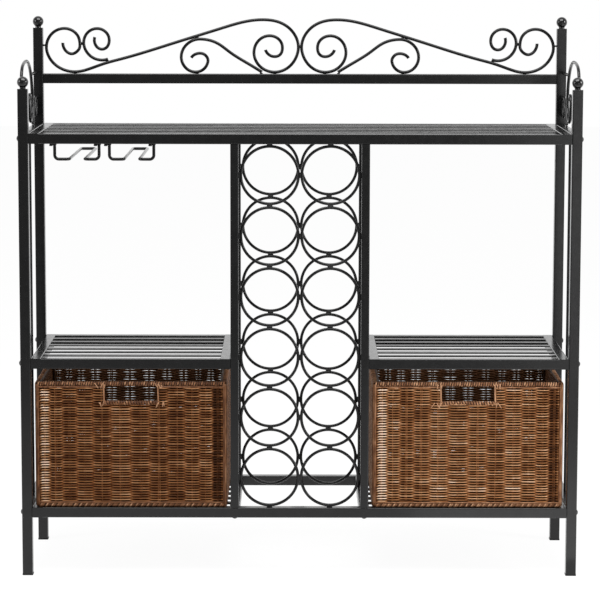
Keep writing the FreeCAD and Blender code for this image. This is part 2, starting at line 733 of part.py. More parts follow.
def hanger(middle):
    """One bent wire with flattened ends: two legs, and a slot that runs back between two rails."""
    level = rail_underside - hanger_drop
    rear = back - hanger_rear_gap
    half_slot = hanger_slot_spacing / 2
    half_legs = hanger_leg_spacing / 2
    tab_underside = rail_underside - tab_thickness
    wire = bent_wire([
        Vector(middle - half_legs, -post_y, tab_underside), Vector(middle - half_legs, -post_y, level),
        Vector(middle - half_slot, -post_y, level), Vector(middle - half_slot, rear, level),
        Vector(middle + half_slot, rear, level), Vector(middle + half_slot, -post_y, level),
        Vector(middle + half_legs, -post_y, level),
        Vector(middle + half_legs, -post_y, tab_underside)], hanger_bend, hanger_wire)
    tabs = []
    for side in (-1, 1):
        leg_x = middle + side * half_legs
        face = Part.Face(rounded_rectangle(tab_size, tab_size, tab_size / 4))
        tab = face.extrude(Z_AXIS * tab_thickness)
        tab.translate(Vector(leg_x - tab_offset, -post_y, tab_underside))
        hole = Vector(leg_x - screw_offset, -post_y, rail_underside)
        tabs.append(drill(tab, hole, Z_AXIS, 4 * tab_thickness, screw_radius + fit_clearance))
    return wire.fuse(tabs).removeSplitter()


def hanger_screw(leg_x):
    under_head = Vector(leg_x - screw_offset, -post_y, rail_underside - tab_thickness)
    head = rod(under_head - Z_AXIS * screw_head_height, Z_AXIS, screw_head_height, screw_head_radius)
    lower_edge = [edge for edge in head.Edges
                  if edge.BoundBox.ZMax < under_head.z - screw_head_height / 2]
    head = head.makeFillet(screw_head_height / 3, lower_edge)
    return head.fuse(rod(under_head, Z_AXIS, screw_length, screw_radius)).removeSplitter()


save("stemware_hanger_outer", [hanger(hanger_middles[0])])
save("stemware_hanger_inner", [hanger(hanger_middles[1])])
save("hanger_screws", [hanger_screw(leg_x) for leg_x in hanger_legs])


# ---------------------------------------------------------------- baskets

basket_low_x = wine_outer + basket_side_gap
basket_high_x = post_inner - basket_side_gap
basket_width = basket_high_x - basket_low_x
basket_depth = rack_depth - basket_front_gap - basket_rear_gap
basket_bottom = bottom_frame_top + basket_rest_gap
basket_height = mid_shelf_top - tube_size - basket_top_gap - basket_bottom
basket_middle = Vector((basket_low_x + basket_high_x) / 2,
                       front + basket_front_gap + basket_depth / 2, basket_bottom)


def basket_block(inset, low, high):
    """A round-cornered block of the basket's outline, inset all round, between two heights."""
    outline = rounded_rectangle(basket_width - 2 * inset, basket_depth - 2 * inset,
                                basket_corner - inset)
    block = Part.Face(outline).extrude(Z_AXIS * (high - low))
    block.translate(basket_middle + Z_AXIS * low)
    return block


def basket_body():
    """The woven shell: four walls and a floor, thicker at the rim and foot, with a hand hole."""
    shell = basket_block(basket_border, 0, basket_height)
    rim = basket_block(0, basket_height - basket_rim_height, basket_height)
    foot = basket_block(0, 0, basket_foot_height)
    hollow = basket_block(basket_border + basket_wall, basket_wall, basket_height + 1)
    body = shell.fuse([rim, foot]).cut(hollow)
    hole_face = Part.Face(rounded_rectangle(handle_width, handle_height, handle_corner))
    hole = hole_face.extrude(Z_AXIS * (4 * basket_wall))
    hole_z = basket_height - handle_below_rim - handle_height / 2
    hole_start = basket_middle + Vector(0, -basket_depth / 2 - basket_wall, hole_z)
    return body.cut(along(hole, hole_start, Y_AXIS)).removeSplitter()


def basket_frame():
    """The wire skeleton inside the weave: a hoop at rim and foot and an upright at each corner."""
    inset = basket_border + basket_wall + basket_wire / 2 + contact_gap
    x = basket_width / 2 - basket_corner
    y = basket_depth / 2 - basket_corner
    low = basket_wall + basket_wire / 2 + contact_gap
    high = basket_height - basket_wire / 2
    corner_reach = (basket_corner - inset) * math.sqrt(0.5)
    pieces = []
    for level in (low, high):
        outline = rounded_rectangle(basket_width - 2 * inset, basket_depth - 2 * inset,
                                    basket_corner - inset)
        outline.translate(basket_middle + Z_AXIS * level)
        start = outline.Edges[1].valueAt(outline.Edges[1].FirstParameter)
        heading = outline.Edges[1].tangentAt(outline.Edges[1].FirstParameter)
        section = Part.Wire([Part.Circle(start, heading, basket_wire / 2).toShape()])
        pieces.append(outline.makePipeShell([section], True, False))
    for side_x in (-1, 1):
        for side_y in (-1, 1):
            foot = Vector(side_x * (x + corner_reach), side_y * (y + corner_reach), low)
            pieces.append(rod(basket_middle + foot, Z_AXIS, high - low, basket_wire / 2))
    return pieces[0].fuse(pieces[1:]).removeSplitter()


save_pair("basket", [basket_body()], "_body")
save_pair("basket", [basket_frame()], "_frame")
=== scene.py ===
import json
import math

import bpy
import numpy as np
from mathutils import Matrix, Vector


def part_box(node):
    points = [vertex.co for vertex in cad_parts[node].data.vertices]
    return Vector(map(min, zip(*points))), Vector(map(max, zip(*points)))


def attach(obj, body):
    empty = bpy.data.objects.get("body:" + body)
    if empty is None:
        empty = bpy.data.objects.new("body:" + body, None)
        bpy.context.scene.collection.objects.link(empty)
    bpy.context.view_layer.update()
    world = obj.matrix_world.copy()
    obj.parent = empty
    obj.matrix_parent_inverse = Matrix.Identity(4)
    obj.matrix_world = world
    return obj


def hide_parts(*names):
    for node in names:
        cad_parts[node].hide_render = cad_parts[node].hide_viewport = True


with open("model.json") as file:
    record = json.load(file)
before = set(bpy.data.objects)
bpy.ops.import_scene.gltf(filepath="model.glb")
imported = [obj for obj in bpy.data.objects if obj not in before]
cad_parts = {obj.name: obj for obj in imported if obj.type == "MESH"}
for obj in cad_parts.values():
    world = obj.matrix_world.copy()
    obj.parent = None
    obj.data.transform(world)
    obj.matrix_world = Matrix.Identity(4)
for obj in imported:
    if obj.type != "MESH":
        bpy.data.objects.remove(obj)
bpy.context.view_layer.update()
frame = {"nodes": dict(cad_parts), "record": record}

# A bakers rack in satin black powder coat, with two woven wicker baskets in its bottom bays.
# Metres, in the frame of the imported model: +X to the right, -Y to the front, +Z up.

nodes = frame["nodes"]


# ---------------------------------------------------------------- sizes of the wicker

# the woven walls
BASKET_SPREAD = 0.0015       # how far the weave reaches past its CAD body at one side
BASKET_CORNER = 0.0075       # radius of the woven outline's corners
LEAST_CORNER = 0.0005        # for outlines that lie far in
WEAVE_INSET = 0.0047         # from the basket's outline to the middle of its woven wall
STRAND_RADIUS = 0.00132      # half of a strand's thickness
STRAND_HALF_HEIGHTS = (0.00176, 0.00168, 0.00190, 0.00168)    # front, right, back and left wall
STRAND_VARIATION = (0.95, 1.04)    # of the strand's size, from row to row
STRAND_SWING = 0.0031        # how far a strand passes in front of or behind a stake
STRAND_SIDES = 6             # faces round a strand
SMOOTH_SIDES = 8             # faces round a smooth cane
ROW_PITCH = 0.00259
ROW_JITTER = 0.00022         # how far a row may lie high or low at a bend
BEND_SHARES = (0.0, 0.13, 0.29, 0.43, 0.57, 0.71, 0.87)    # a row's points from stake to stake
SWAY_START = 0.24            # share of the way to the next stake where a row starts to cross over
SWAY_LENGTH = 0.52           # share of the way that the crossing over takes
CORNER_SWING = -0.3          # a row's swing at a corner, where it passes behind the sticks
CORNER_DIP = 0.0022          # how far the rows drop towards the front left corner
DIP_FADE = 0.03              # height over which the rows level out, at the foot and at the rim
FRONT_SLIMMING = 0.32        # how much lower a strand is in front of a stake
BEHIND_WIDENING = 0.44       # how much higher it is behind one
BACK_GAP_SLIMMING = 0.19     # how much lower the back wall's strands are beside a stake
EVEN_ROW_GAP = 0.35          # the even rows' share of that
GAP_REACH = 0.2              # share of the way between two stakes that counts as beside one

# stakes and corner sticks
STAKE_RADIUS = 0.0013
STAKE_HALF_GAP = 0.0014      # from the middle of a pair of stakes to each of them
STAKE_LEAN = 0.0005          # how far a stake may stray to a side
STAKE_POINTS = 9
STAKE_DRIFT = 0.0006         # how far all rows may lie high or low at a pair of stakes
FRONT_STAKES = 12            # pairs, in the front and in the back wall
SIDE_STAKES = 10             # pairs, in each side wall
FRONT_COLUMN_EXTRA = 0.8     # how much wider the middle columns are than the end ones
SIDE_COLUMN_EXTRA = 0.15     # the same in the side walls
COLUMN_VARIATION = (0.94, 1.06)    # of a column's width
CORNER_STICK_RADIUS = 0.0019
CORNER_STICK_PITCH = 0.0031  # round the corner, from stick to stick
CORNER_STICK_INSET = 0.0003  # of the sticks' outer faces in the basket's outline
CORNER_STICK_LEAN = 0.0003
CORNER_STICK_POINTS = 24

# bands, rim and foot rope
BAND_RADIUS = 0.0016         # of the smooth cane under the rim and over the foot
BAND_INSET = 0.0006          # of the bands' outer faces in the basket's outline
BAND_LIFT = 0.7 * BAND_RADIUS    # from the rim or the foot to the middle of the band
BAND_ROOM = 1.6 * BAND_RADIUS    # from the rim or the foot to the nearest row's edge
BAND_LEAN = 0.0002
BAND_POINTS = 260
BORDER_INSET = 0.0002        # of the rim's and the rope's outer faces in the basket's outline
RIM_HALF_WIDTH = 0.0060
RIM_HALF_HEIGHT = 0.0048
RIM_BELOW_TOP = 0.0001       # of the rim's highest point under the basket's top
RIM_CORE_POINTS = 160
RIM_CORE_SIDES = 10
WRAP_PITCH = 0.0047
WRAP_RADII = (0.0014, 0.0018)    # half of the winding cane's thickness and width
TURN_POINTS = 12             # points to one turn of the wound cane and of the rope
ROPE_RADIUS = 0.0041
ROPE_STRANDS = 3
ROPE_STRAND_RADIUS = 0.0015
ROPE_LAY = 0.0110            # length of one full turn of the foot's rope
ROPE_CORE_SHARE = 0.8        # of the radius that the rope's strands lie on
ROPE_CORE_STEP = 4           # the rope's core has every fourth of the strands' points

# hand hole
HANDLE_SIZE = (0.110, 0.034)    # width and height
HANDLE_BELOW_TOP = 0.010
HANDLE_OVERLAP = 0.001       # of the side edges and loose ends past the hole's corners
HANDLE_SIDE_RADIUS = 0.0018
HANDLE_SIDE_POINTS = 10
HANDLE_SIDE_SPLAY = 0.0022   # of the two side canes, in front of and behind the wall's middle
HANDLE_SIDE_SLANT = 0.0006   # of each side cane's ends, to the left and right of its middle
HANDLE_WRAP_RADII = (0.0040, 0.0031)    # of the winding's path, outward and upward
HANDLE_WRAP_PITCH = 0.0050
HANDLE_WRAP_DROP = 0.0015    # of the winding's lowest point under the hole's lower edge
HANDLE_CORE_STEP = 8         # the winding's core has every eighth of its points
LOOSE_END_COUNT = 4          # at each corner of the hand hole
LOOSE_END_STARTS = (-0.004, 0.010)    # past the hole's edge
LOOSE_END_LENGTHS = (0.006, 0.011)
LOOSE_END_SLANT = 0.9        # sideways run for each unit of height
LOOSE_END_TUCK = 0.002       # height of an end that is hidden in the weave
LOOSE_END_STANDOFF = 0.0040  # in front of the wall's middle
LOOSE_END_RADII = (0.0007, 0.0009)
LOOSE_END_SIDES = 5

# the basket's floor
BASE_LEVEL = 0.0042          # of the floor's sticks above the basket's lowest point
BASE_INSET = 0.002           # of the floor's edge from the middle of the wall
BASE_PITCH = 0.0051          # between the weavers that show on one side
BASE_SWING = 0.0022          # how far a weaver passes over and under the sticks
BASE_STICK_POINTS = 6
SPLINT_PITCH = 0.0042        # of the flat splints that close the floor
SPLINT_HALF_THICKNESS = 0.0005
WEAVER_WIDENING = 1.2        # how much wider a weaver is than it is thick
WEAVER_POINTS = 5            # for each column

# tones of the cane, where a higher one is fairer; a few of them are painted light and shade, as said
# at each
ROW_TONES = (0.5, 1.1)
COLUMN_TONE = 0.15           # how far a column's tone may be from 0
FIRST_COLUMN_PAINTED_LIGHT = 0.70     # painted light at the left end of the front wall, where the light from the left falls
LAST_COLUMN_PAINTED_SHADE = -0.75     # painted shade at its right end
CORNER_TONE = 0.1
BEHIND_PAINTED_SHADE = 1.6            # how much darker a row is painted behind a stake, as painted shade
JITTER_TONE = 800            # how much lighter a row is for each metre that it lies high
STAKE_TONES = (-0.2, 0.7)
CORNER_STICK_TONES = (0.2, 0.8)
CORNER_HIGHLIGHT_TONE = 0.35    # added to the middle stick of the front right corner
BAND_TONES = (0.45, 0.95)
RIM_TONES = (0.15, 1.15)
# the rim's core is painted dark, as shade in the grooves between the turns of cane
RIM_CORE_PAINTED_SHADE = -1.4
ROPE_TONES = (-0.2, 0.5)
ROPE_TONE_STEP = 0.5         # from one strand of the rope to the next
# the rope's core is painted dark, as shade in the grooves between its strands
ROPE_CORE_PAINTED_SHADE = -1.0
HANDLE_SIDE_TONE = 0.6
HANDLE_SIDE_PAINTED_LIGHT_STEP = 0.4  # painted light on the cane in front, painted shade on the one behind
HANDLE_WRAP_TONES = (0.3, 1.1)
# the winding's core is painted darker, as shade between its turns
HANDLE_CORE_PAINTED_SHADE = -0.4
LOOSE_END_TONES = (1.2, 2.2)
BASE_STICK_TONE = 0.2
SPLINT_TONES = (-0.2, 0.3)
WEAVER_TONES = (0.2, 0.8)


# ---------------------------------------------------------------- node-graph helpers

def new_material(name):
    """A new material, its node tree and its Principled shader."""
    material = bpy.data.materials.new(name)
    material.use_nodes = True
    tree = material.node_tree
    tree.nodes.clear()
    output = tree.nodes.new("ShaderNodeOutputMaterial")
    shader = tree.nodes.new("ShaderNodeBsdfPrincipled")
    tree.links.new(shader.outputs["BSDF"], output.inputs["Surface"])
    return material, tree, shader


def noise(tree, vector, scale, detail=2.0, roughness=0.5):
    """A noise value over a vector."""
    node = tree.nodes.new("ShaderNodeTexNoise")
    node.inputs["Scale"].default_value = scale
    node.inputs["Detail"].default_value = detail
    node.inputs["Roughness"].default_value = roughness
    tree.links.new(vector, node.inputs["Vector"])
    return node.outputs["Fac"]


def stretched(tree, vector, factors):
    """A vector with each axis scaled."""
    node = tree.nodes.new("ShaderNodeVectorMath")
    node.operation = "MULTIPLY"
    tree.links.new(vector, node.inputs[0])
    node.inputs[1].default_value = factors
    return node.outputs["Vector"]


def along_axis(tree, vector, axis):
    """One axis of a vector."""
    node = tree.nodes.new("ShaderNodeSeparateXYZ")
    tree.links.new(vector, node.inputs["Vector"])
    return node.outputs[axis]


def ramp(tree, value, stops):
    """A colour ramp through (position, colour) stops."""
    node = tree.nodes.new("ShaderNodeValToRGB")
    elements = node.color_ramp.elements
    while len(elements) < len(stops):
        elements.new(0.5)
    for element, (position, colour) in zip(elements, stops):
        element.position = position
        element.color = (*colour, 1.0)
    tree.links.new(value, node.inputs["Fac"])
    return node.outputs["Color"]


def spread(tree, value, low, high, from_low=0.0, from_high=1.0):
    """A value mapped from one range to another, and held within it."""
    node = tree.nodes.new("ShaderNodeMapRange")
    node.inputs["From Min"].default_value = from_low
    node.inputs["From Max"].default_value = from_high
    node.inputs["To Min"].default_value = low
    node.inputs["To Max"].default_value = high
    tree.links.new(value, node.inputs["Value"])
    return node.outputs["Result"]


def arithmetic(tree, operation, first, second):
    """One step of arithmetic on two values, where the second may be a plain number."""
    node = tree.nodes.new("ShaderNodeMath")
    node.operation = operation
    tree.links.new(first, node.inputs[0])
    if isinstance(second, (int, float)):
        node.inputs[1].default_value = second
    else:
        tree.links.new(second, node.inputs[1])
    return node.outputs["Value"]


def mixed(tree, factor, first, second):
    """Two colours mixed by a factor."""
    node = tree.nodes.new("ShaderNodeMix")
    node.data_type = "RGBA"
    tree.links.new(factor, node.inputs["Factor"])
    for socket, colour in ((node.inputs["A"], first), (node.inputs["B"], second)):
        if isinstance(colour, tuple):
            socket.default_value = (*colour, 1.0)
        else:
            tree.links.new(colour, socket)
    return node.outputs["Result"]


def bumped(tree, shader, height, distance, strength):
    """Give a shader a bump from a height value."""
    node = tree.nodes.new("ShaderNodeBump")
    node.inputs["Distance"].default_value = distance
    node.inputs["Strength"].default_value = strength
    tree.links.new(height, node.inputs["Height"])
    tree.links.new(node.outputs["Normal"], shader.inputs["Normal"])


def object_coordinates(tree):
    """A place in the object's own axes."""
    return tree.nodes.new("ShaderNodeTexCoord").outputs["Object"]


# ---------------------------------------------------------------- materials

# noise scales, for coordinates in metres
MOTTLE_SCALE = 38.0
GLOSS_SCALE = 90.0
PEEL_SCALE = 1100.0
GRAIN_SCALE = 2600.0
BLOTCH_SCALE = 55.0

NOISE_BODY = (0.3, 0.7)      # the range that most of a noise lies in
SMOOTHER = 0.04              # how far a coat's roughness varies, down and up
ROUGHER = 0.05
PEEL_DEPTH = 0.00006
PEEL_STRENGTH = 0.07
FILM_IOR = 1.33
FILM_ROUGHNESS = 0.12

GRAIN_DEPTH = 0.00008
GRAIN_STRENGTH = 0.5
PLASTIC_DARK = (0.009, 0.009, 0.009)
PLASTIC_LIGHT = (0.018, 0.018, 0.018)
PLASTIC_ROUGHNESS = (0.5, 0.65)
PLASTIC_SPECULAR = 0.25

STREAK_STRETCH = (1.0, 1.0, 22.0)    # round a strand, and along it
STREAK_SCALE = 2.4
STREAK_SHARE = 0.34          # shares of streaks, tone and blotches in the cane's colour
TONE_SHARE = 0.42
BLOTCH_SHARE = 0.30
STREAK_ROUGHNESS = (0.34, 0.56)
STREAK_DEPTH = 0.0003
STREAK_STRENGTH = 0.8
# painted shade on the inward side of each strand, in place of the shade inside the basket
INNER_PAINTED_SHADE = (0.095, 0.042, 0.020)
OUTER_SIDE = (-0.1, 0.95)    # how far out a side faces where the painted shade starts to give way, and ends


def powder_coat(name, dark, light, roughness, specular, gloss_film=0.0):
    """Baked powder coat: fine orange peel, faint mottling, and a clear film over it if glossy."""
    material, tree, shader = new_material(name)
    place = object_coordinates(tree)
    mottle = noise(tree, place, MOTTLE_SCALE, detail=4.0, roughness=0.6)
    tree.links.new(ramp(tree, mottle, [(0.35, dark), (0.75, light)]), shader.inputs["Base Color"])
    gloss = noise(tree, place, GLOSS_SCALE, detail=3.0)
    tree.links.new(spread(tree, gloss, roughness - SMOOTHER, roughness + ROUGHER, *NOISE_BODY),
                   shader.inputs["Roughness"])
    peel = noise(tree, place, PEEL_SCALE)
    bumped(tree, shader, peel, PEEL_DEPTH, PEEL_STRENGTH)
    shader.inputs["Specular IOR Level"].default_value = specular
    shader.inputs["Coat Weight"].default_value = gloss_film
    shader.inputs["Coat IOR"].default_value = FILM_IOR
    shader.inputs["Coat Roughness"].default_value = FILM_ROUGHNESS
    return material


def moulded_plastic(name):
    """Black moulded plastic with a fine spark-eroded grain."""
    material, tree, shader = new_material(name)
    grain = noise(tree, object_coordinates(tree), GRAIN_SCALE, detail=3.0, roughness=0.7)
    tree.links.new(ramp(tree, grain, [(0.3, PLASTIC_DARK), (0.8, PLASTIC_LIGHT)]),
                   shader.inputs["Base Color"])
    tree.links.new(spread(tree, grain, *PLASTIC_ROUGHNESS), shader.inputs["Roughness"])
    bumped(tree, shader, grain, GRAIN_DEPTH, GRAIN_STRENGTH)
    shader.inputs["Specular IOR Level"].default_value = PLASTIC_SPECULAR
    return material


def wicker(name, stops, specular):
    """Stained cane: a tone along each strand, streaks along its fibres, and painted shade on each
    strand's inward side.
    """
    material, tree, shader = new_material(name)
    fibre = tree.nodes.new("ShaderNodeAttribute")
    fibre.attribute_name = "fibre"
    tone = tree.nodes.new("ShaderNodeAttribute")
    tone.attribute_name = "tone"
    along_fibres = stretched(tree, fibre.outputs["Vector"], STREAK_STRETCH)
    streaks = noise(tree, along_fibres, STREAK_SCALE, detail=3.0, roughness=0.6)
    blotches = noise(tree, object_coordinates(tree), BLOTCH_SCALE, detail=3.0, roughness=0.6)
    blend = arithmetic(tree, "MULTIPLY", streaks, STREAK_SHARE)
    for value, share in ((tone.outputs["Fac"], TONE_SHARE), (blotches, BLOTCH_SHARE)):
        blend = arithmetic(tree, "ADD", blend, arithmetic(tree, "MULTIPLY", value, share))
    outside = spread(tree, along_axis(tree, fibre.outputs["Vector"], "X"), 0.0, 1.0, *OUTER_SIDE)
    # the inward side of each strand gets painted shade
    inward_shaded = mixed(tree, outside, INNER_PAINTED_SHADE, ramp(tree, blend, stops))
    tree.links.new(inward_shaded, shader.inputs["Base Color"])
    tree.links.new(spread(tree, streaks, *STREAK_ROUGHNESS), shader.inputs["Roughness"])
    bumped(tree, shader, streaks, STREAK_DEPTH, STREAK_STRENGTH)
    shader.inputs["Specular IOR Level"].default_value = specular
    return material


COAT_DARK = (0.0022, 0.0022, 0.0023)
COAT_LIGHT = (0.0038, 0.0038, 0.0039)
TUBE_COAT = powder_coat("tube_coat", dark=COAT_DARK, light=COAT_LIGHT,
                        roughness=0.22, specular=0.42, gloss_film=0.15)
SLAT_COAT = powder_coat("slat_coat", dark=(0.0018, 0.0018, 0.0018), light=(0.0030, 0.0030, 0.0030),
                        roughness=0.24, specular=0.13)
WIRE_COAT = powder_coat("wire_coat", dark=(0.0016, 0.0016, 0.0017), light=(0.0028, 0.0028, 0.0029),
                        roughness=0.19, specular=0.26, gloss_film=0.3)
FINIAL_COAT = powder_coat("finial_coat", dark=COAT_DARK, light=COAT_LIGHT,
                          roughness=0.14, specular=0.25, gloss_film=1.0)
FASTENER_COAT = powder_coat("fastener_coat", dark=(0.0060, 0.0060, 0.0060),
                            light=(0.0110, 0.0110, 0.0110), roughness=0.38, specular=0.3)
BASKET_WIRE_COAT = powder_coat("basket_wire_coat", dark=(0.030, 0.014, 0.007),
                               light=(0.055, 0.027, 0.013), roughness=0.5, specular=0.08)
CAP_PLASTIC = moulded_plastic("cap_plastic")

WEAVE_COLOURS = [(0.06, (0.003, 0.0009, 0.0003)), (0.32, (0.030, 0.0092, 0.0030)),
                 (0.48, (0.125, 0.045, 0.015)), (0.64, (0.265, 0.113, 0.043)),
                 (0.82, (0.46, 0.250, 0.125)), (1.0, (0.82, 0.60, 0.45))]
WRAP_COLOURS = [(0.10, (0.008, 0.0028, 0.0012)), (0.40, (0.080, 0.030, 0.0125)),
                (0.60, (0.185, 0.081, 0.037)), (0.86, (0.45, 0.25, 0.140))]
WEAVE_CANE = wicker("weave_cane", WEAVE_COLOURS, specular=0.03)
WRAP_CANE = wicker("wrap_cane", WRAP_COLOURS, specular=0.12)

SLOT_MATERIALS = {
    "tube_steel": TUBE_COAT,
    "wire_steel": WIRE_COAT,
    "finial_steel": FINIAL_COAT,
    "fastener_steel": FASTENER_COAT,
    "cap_plastic": CAP_PLASTIC,
    "wicker": WEAVE_CANE,
    "basket_wire": BASKET_WIRE_COAT,
}

for subpart in frame["record"]["subparts"]:
    cad_object = nodes[subpart["node"]]
    cad_object.data.materials.clear()
    coat = SLAT_COAT if "slats" in subpart["node"] else SLOT_MATERIALS[subpart["material_slot"]]
    cad_object.data.materials.append(coat)


# ---------------------------------------------------------------- strands

UP = np.array([0.0, 0.0, 1.0])


def unit(vectors):
    """Vectors scaled to length 1."""
    return vectors / np.linalg.norm(vectors, axis=-1, keepdims=True)


def eased(share):
    """A share from 0 to 1 that starts and stops gently."""
    share = np.clip(share, 0.0, 1.0)
    return share * share * (3 - 2 * share)


def blended(first, second, share):
    """Values on the way from the first to the second."""
    return first + (second - first) * share


class Strands:
    """Strands of cane gathered into one mesh, with each point's place on its strand."""

    def __init__(self):
        self.points = []
        self.faces = []
        self.fibres = []
        self.tones = []
        self.count = 0

    def add(self, path, outward, half_depth, half_width, tone, closed=False,
            sides=STRAND_SIDES):
        """One strand along a path, whose flat side faces outward. Its width and tone may vary."""
        steps = len(path)
        if closed:
            tangent = unit(np.roll(path, -1, axis=0) - np.roll(path, 1, axis=0))
        else:
            tangent = unit(np.gradient(path, axis=0))
        across = unit(np.cross(tangent, np.broadcast_to(outward, path.shape)))
        depth = np.cross(across, tangent)
        angles = 2 * np.pi * np.arange(sides) / sides
        cosines = np.cos(angles)[None, :, None]
        sines = np.sin(angles)[None, :, None]
        widths = np.broadcast_to(half_width, steps)[:, None, None]
        ring = path[:, None, :] + depth[:, None, :] * cosines * half_depth
        ring = ring + across[:, None, :] * sines * widths
        run = np.concatenate([[0.0], np.cumsum(np.linalg.norm(np.diff(path, axis=0), axis=1))])
        fibre = np.empty((steps, sides, 3))
        fibre[:, :, 0] = np.cos(angles)
        fibre[:, :, 1] = np.sin(angles)
        fibre[:, :, 2] = run[:, None]
        self.points.append(ring.reshape(-1, 3))
        self.fibres.append(fibre.reshape(-1, 3))
        self.tones.append(np.repeat(np.broadcast_to(tone, steps), sides))
        self._join(steps, sides, closed)

    def _join(self, steps, sides, closed):
        """The faces between one strand's rings of points, and over its two ends."""
        index = self.count + np.arange(steps * sides).reshape(steps, sides)
        following = np.roll(index, -1, axis=0) if closed else index[1:]
        here = index if closed else index[:-1]
        quads = np.stack([here, np.roll(here, -1, axis=1),
                          np.roll(following, -1, axis=1), following], axis=-1)
        self.faces.extend(quads.reshape(-1, 4)[:, ::-1].tolist())
        if not closed:
            self.faces.append(index[0].tolist())
            self.faces.append(index[-1][::-1].tolist())
        self.count += steps * sides

    def wind(self, core, outward, radii, tones, closed, turn=1):
        """Cane wound round a level core, TURN_POINTS points to a turn and one tone for each."""
        phase = turn * 2 * np.pi * np.arange(len(core)) / TURN_POINTS
        swing = np.cos(phase)[:, None]
        lift = np.sin(phase)[:, None]
        facing = unit(outward * swing / radii[0] + UP * lift / radii[1])
        path = core + outward * swing * radii[0] + UP * lift * radii[1]
        self.add(path, facing, *WRAP_RADII, np.repeat(tones, TURN_POINTS), closed)

    def piece(self, name, material, body, replaced_node):
        """Make the object, parent it to its body, and hide the CAD part that it stands for."""
        mesh = bpy.data.meshes.new(name)
        mesh.from_pydata(np.concatenate(self.points).tolist(), [], self.faces)
        mesh.polygons.foreach_set("use_smooth", np.ones(len(mesh.polygons), bool))
        fibre = mesh.attributes.new("fibre", "FLOAT_VECTOR", "POINT")
        fibre.data.foreach_set("vector", np.concatenate(self.fibres).astype(np.float32).ravel())
        tone = mesh.attributes.new("tone", "FLOAT", "POINT")
        tone.data.foreach_set("value", np.concatenate(self.tones).astype(np.float32))
        mesh.materials.append(material)
        piece = bpy.data.objects.new(name, mesh)
        bpy.context.scene.collection.objects.link(piece)
        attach(piece, body)
        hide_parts(replaced_node)


class Outline:
    """A rounded rectangle in plan, walked by distance from the left end of the front wall."""

    def __init__(self, low, high, inset, corner):
        self.radius = max(corner - inset, LEAST_CORNER)
        centre_inset = self.radius + inset
        self.middle = np.array([(low.x + high.x) / 2, (low.y + high.y) / 2])
        self.half = np.array([(high.x - low.x) / 2, (high.y - low.y) / 2]) - centre_inset
        arc = self.radius * math.pi / 2
        width, depth = 2 * self.half
        self.lengths = np.array([width, arc, depth, arc, width, arc, depth, arc])
        self.starts = np.concatenate([[0.0], np.cumsum(self.lengths)])
        self.total = self.starts[-1]

    def at(self, distance):
        """Places and outward directions (in 3-D, at height 0) at distances along the outline."""
        distance = np.mod(np.asarray(distance, float), self.total)
        part = np.clip(np.searchsorted(self.starts, distance, side="right") - 1, 0, 7)
        along = distance - self.starts[part]
        wall = part // 2
        on_corner = part % 2 == 1
        turn = wall * math.pi / 2 + np.where(on_corner, along / self.radius, 0.0)
        outward = np.stack([np.sin(turn), -np.cos(turn), np.zeros_like(turn)], axis=-1)
        heading = np.stack([np.cos(turn), np.sin(turn), np.zeros_like(turn)], axis=-1)
        centres = self.half * np.array([[-1, -1], [1, -1], [1, 1], [-1, 1]])
        next_centres = np.roll(centres, -1, axis=0)
        pivot = np.where(on_corner[:, None], next_centres[wall], centres[wall]) + self.middle
        place = np.concatenate([pivot, np.zeros((len(pivot), 1))], axis=1) + outward * self.radius
        place = place + heading * np.where(on_corner, 0.0, along)[:, None]
        return place, outward

    def evenly(self, count):
        """Distances of evenly spaced places all round."""
        return np.arange(count) * self.total / count

    def wall_at(self, distance):
        """The number of the wall at each distance: 0 front, 1 right, 2 back, 3 left."""
        distance = np.mod(distance, self.total)
        middles = [self.corner_middle(corner) for corner in range(4)]
        return np.searchsorted(middles, distance) % 4

    def corner_middle(self, corner):
        """The distance of a corner: 0 front right, 1 back right, 2 back left, 3 front left."""
        return self.starts[2 * corner + 1] + self.lengths[2 * corner + 1] / 2


# ---------------------------------------------------------------- baskets

# the columns of a basket's crossings: distance round the wall, height and tone of the rows there,
# side of the even rows, and swing of all rows
PLACE, DRIFT, TONE, SIDE, SWING = range(5)


